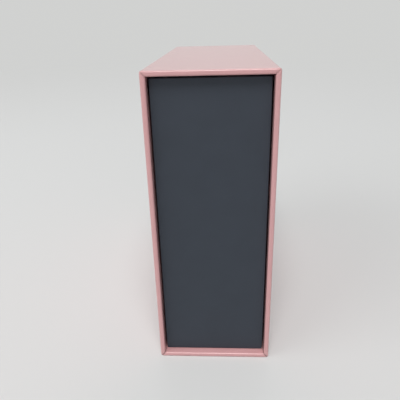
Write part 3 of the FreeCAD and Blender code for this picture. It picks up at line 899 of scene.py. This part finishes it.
def pressed_out(name, grid, low, high, voxel, swell):
    """Foam pressing out its skin: a closed form, evened and blown up at an enlarged size.

    No point moves further than the swell, or out of the box that its CAD solid holds.
    """
    middle = (low + high) / 2
    form = surface(f"{name}_form", (grid - middle) * ENLARGED, round_u=True, caps=True)
    mesh = evened(form, voxel * ENLARGED)
    mesh.name = name
    points = points_of(mesh)
    move = blown_up(mesh) - points
    length = np.linalg.norm(move, axis=1, keepdims=True)
    points += move * np.minimum(1, swell * ENLARGED / np.maximum(length, swell))
    place_points(mesh, np.clip(points / ENLARGED + middle, low, high))
    return mesh


def smooth_skin(piece):
    """Rounds off a padded piece's faces."""
    subdivision = piece.modifiers.new("smooth", "SUBSURF")
    subdivision.levels = subdivision.render_levels = 1


first_low, first_high = np.array(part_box("ring_roll_velvet_1"))
slack = np.array([0, ROLL_SLACK, ROLL_SLACK])
first_form = roll_form(first_low + slack, first_high - ROLL_SLACK)
first_roll = pressed_out("ring_roll_first", first_form, first_low, first_high, ROLL_VOXEL, ROLL_SWELL)
for number in range(1, ROLL_COUNT + 1):
    roll_mesh = first_roll.copy()
    roll_mesh.name = f"ring_roll_{number}"
    points = points_of(roll_mesh) + np.array(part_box(f"ring_roll_velvet_{number}")[0]) - first_low
    wave = np.sin(2 * np.pi * points[:, 2] / ROLL_RIPPLE_LENGTH + ROLL_RIPPLE_SHIFT * number)
    height = (points[:, 0] - first_low[0]) / (first_high[0] - first_low[0])
    points[:, 0] -= ROLL_RIPPLE * (0.5 + 0.5 * wave) * height
    place_points(roll_mesh, points)
    roll = add_piece(roll_mesh, velvet, "drawer", "dove_velvet",
                     f"ring_roll_velvet_{number}", f"ring_roll_foam_{number}")
    smooth_skin(roll)


# Compartment pads: two thin foam cushions in velvet skins, loose on the floor of the compartments.
# Each has a low crown, an eased edge, and sides that draw in between its corners.
PAD_SLACK = 0.4 * MM
PAD_SWELL = 0.6 * MM
PAD_EDGE = 1.3 * MM
PAD_EDGE_STEPS = 8
PAD_CORNER = 2.5 * MM
PAD_DRAW_IN = 0.8 * MM
PAD_CROWN = 500 * MM
PAD_STEPS = 30
PAD_VOXEL = 1.0 * MM


def pad_form(low, high):
    """A cushion: from the middle of its foot out to a plan with rounded corners and drawn-in sides, up
    the side, over a quarter circle, and back in over a crown that is part of a large sphere."""
    middle, half = (low + high) / 2, (high - low) / 2
    places, angles = walk_round(DRAWER_CORNERS, closed=True)
    turns = np.stack([np.cos(angles), np.sin(angles)], axis=1)
    plan = places * (half[1:] - PAD_CORNER) + PAD_CORNER * turns
    plan *= 1 - PAD_DRAW_IN / half[1:] * (1 - (plan / half[1:])[:, ::-1] ** 2)
    sine, cosine = quarter_circle(PAD_EDGE_STEPS)
    inwards = np.linspace(0, 1, PAD_STEPS)[1:]
    edge_share = PAD_EDGE / half[1:].min()
    over = 1 - edge_share * (1 - cosine)
    share = np.concatenate([inwards, [1.0], over, (1 - edge_share) * (1 - inwards)])
    up = np.concatenate([0 * inwards, [0.5], 0 * over + 1, 0 * inwards + 1])
    lower = np.concatenate([0 * inwards, [0.0], PAD_EDGE * (1 - sine), 0 * inwards])
    flat = share[None, :, None] * plan[:, None]
    crown = high[0] - low[0] - np.sum(flat ** 2, axis=-1) / (2 * PAD_CROWN)
    height = low[0] + np.maximum(up * crown - lower, 0)
    return np.concatenate([height[..., None], middle[1:] + flat], axis=-1)


pad_slack = np.array([0, PAD_SLACK, PAD_SLACK])
for side in ("lower", "upper"):
    pad_low, pad_high = np.array(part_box(f"{side}_pad_velvet"))
    form = pad_form(pad_low + pad_slack, pad_high - PAD_SLACK)
    pad = add_piece(pressed_out(f"{side}_pad", form, pad_low, pad_high, PAD_VOXEL, PAD_SWELL), velvet,
                    "drawer", "dove_velvet", f"{side}_pad_velvet", f"{side}_pad_foam")
    smooth_skin(pad)


# Setting: a plain pale floor in a pale surround, with soft light from above, from behind and from the
# left. Away from the box the floor turns into the shade of the surround, so that no horizon shows.
FLOOR_PALE = (0.68, 0.686, 0.679, 1.0)
FLOOR_ROUGHNESS = 0.8
FLOOR_SHINE = 0.2
FLOOR_HALF = 4.0
FLOOR_DROP = 0.02 * MM
FLOOR_FADE = (0.5, 1.7)
FADE_SHARE = (0.0, 1.0)
SURROUND_SEEN = (0.635, 0.64, 0.632, 1.0)
SURROUND_LIGHT = (0.25, 0.25, 0.255, 1.0)
LIGHT_AIM = (0.0, 0.0, 0.07)
OVERHEAD_PLACE = (0.02, -0.56, 1.1)
OVERHEAD_POWER = 2.1
OVERHEAD_SPREAD = 28.0
BACK_PLACE = (0.0, 1.0, 0.8)
BACK_POWER = 0.3
BACK_SPREAD = 40.0
WINDOW_PLACE = (-1.2, -0.7, 0.9)
WINDOW_POWER = 7.5
WINDOW_SIZE = 1.2


def mix_out(tree, amount, first, second, output):
    """Leads two shaders to an output, with as much of the second as the amount says."""
    mix = tree.nodes.new("ShaderNodeMixShader")
    for socket, source in zip(mix.inputs, (amount, first, second)):
        tree.links.new(source, socket)
    tree.links.new(mix.outputs["Shader"], output.inputs["Surface"])


def seen_rays(tree):
    """1 where a shader is seen, directly, in a reflection or through glass, and 0 where it only lights."""
    path = tree.nodes.new("ShaderNodeLightPath")
    amount = path.outputs["Is Camera Ray"]
    for ray in ("Is Glossy Ray", "Is Transmission Ray"):
        amount = combine(tree, "MAXIMUM", amount, path.outputs[ray])
    return amount


def pale_floor():
    """A large level square at the foot of the box, in a dull pale colour that fades with the distance."""
    reach = np.array([-FLOOR_HALF, FLOOR_HALF])
    grid_x, grid_y = np.meshgrid(reach, reach, indexing="ij")
    level = np.stack([grid_x, grid_y, 0 * grid_x - FLOOR_DROP], axis=-1)
    floor = linked("pale_floor", surface("pale_floor", level))
    dull = {"Base_Color": FLOOR_PALE, "Roughness": FLOOR_ROUGHNESS, "Specular_IOR_Level": FLOOR_SHINE}
    material, tree, near, coords = new_finish("pale_floor", **dull)
    distance = tree.nodes.new("ShaderNodeVectorMath")
    distance.operation = "LENGTH"
    tree.links.new(coords, distance.inputs[0])
    fade = span(tree, distance.outputs["Value"], FLOOR_FADE, FADE_SHARE)
    far = tree.nodes.new("ShaderNodeEmission")
    far.inputs["Color"].default_value = SURROUND_SEEN
    faded = combine(tree, "MULTIPLY", fade, seen_rays(tree))
    mix_out(tree, faded, near.outputs["BSDF"], far.outputs["Emission"], tree.nodes["Material Output"])
    floor.data.materials.append(material)


def pale_surround():
    """An even surround: one level of light, and a shade of its own where it is seen or reflected."""
    world = bpy.data.worlds.new("pale_surround")
    world.use_nodes = True
    tree = world.node_tree
    light = tree.nodes["Background"]
    light.inputs["Color"].default_value = SURROUND_LIGHT
    seen = tree.nodes.new("ShaderNodeBackground")
    seen.inputs["Color"].default_value = SURROUND_SEEN
    given, shown = light.outputs["Background"], seen.outputs["Background"]
    mix_out(tree, seen_rays(tree), given, shown, tree.nodes["World Output"])
    bpy.context.scene.world = world


def unit(vector):
    """A vector of length 1 in the same direction."""
    return np.array(vector) / np.linalg.norm(vector)


def stand(name, data, place, right, up, back):
    """Puts a light or a camera at a place, with its own X, Y and Z along these directions."""
    item = linked(name, data)
    turn = Matrix(np.stack([right, up, back], axis=1).tolist()).to_4x4()
    item.matrix_world = Matrix.Translation(place) @ turn
    return item


def soft_lamp(name, kind, place, power):
    """A lamp that is aimed at the middle of the box, and that no camera sees."""
    lamp = bpy.data.lights.new(name, kind)
    lamp.energy = power
    back = unit(np.array(place) - np.array(LIGHT_AIM))
    right = unit(np.cross((0, 0, 1), back))
    stand(name, lamp, place, right, np.cross(back, right), back).visible_camera = False
    return lamp


pale_floor()
pale_surround()
soft_lamp("overhead_light", "SUN", OVERHEAD_PLACE, OVERHEAD_POWER).angle = np.radians(OVERHEAD_SPREAD)
soft_lamp("back_light", "SUN", BACK_PLACE, BACK_POWER).angle = np.radians(BACK_SPREAD)
soft_lamp("window_light", "AREA", WINDOW_PLACE, WINDOW_POWER).size = WINDOW_SIZE
bpy.context.scene.view_settings.view_transform = "Standard"


# Camera: as in the photograph, close to the end of the box and looking down on it a little.
# The frame is square, and the focal length is given in its pixels.
FRAME_PIXELS = 400
FOCAL_PIXELS = 421.4
SENSOR_WIDTH = 36.0
CAMERA_PLACE = (5.3 * MM, -262.2 * MM, 174.8 * MM)
CAMERA_YAW = -3.415
CAMERA_PITCH = 23.36
CAMERA_ROLL = 1.61


def photo_camera():
    """A camera that is turned by its yaw, tipped down by its pitch, and then rolled about its view."""
    yaw, pitch, roll = np.radians([CAMERA_YAW, CAMERA_PITCH, CAMERA_ROLL])
    ahead = np.array([np.sin(yaw) * np.cos(pitch), np.cos(yaw) * np.cos(pitch), -np.sin(pitch)])
    level = np.array([np.cos(yaw), -np.sin(yaw), 0.0])
    down = np.cross(ahead, level)
    right = np.cos(roll) * level + np.sin(roll) * down
    up = np.sin(roll) * level - np.cos(roll) * down
    lens = bpy.data.cameras.new("photo_camera")
    lens.sensor_width = SENSOR_WIDTH
    lens.lens = FOCAL_PIXELS / FRAME_PIXELS * SENSOR_WIDTH
    lens.clip_start = MM
    bpy.context.scene.camera = stand("photo_camera", lens, CAMERA_PLACE, right, up, -ahead)


photo_camera()

bpy.context.view_layer.update()
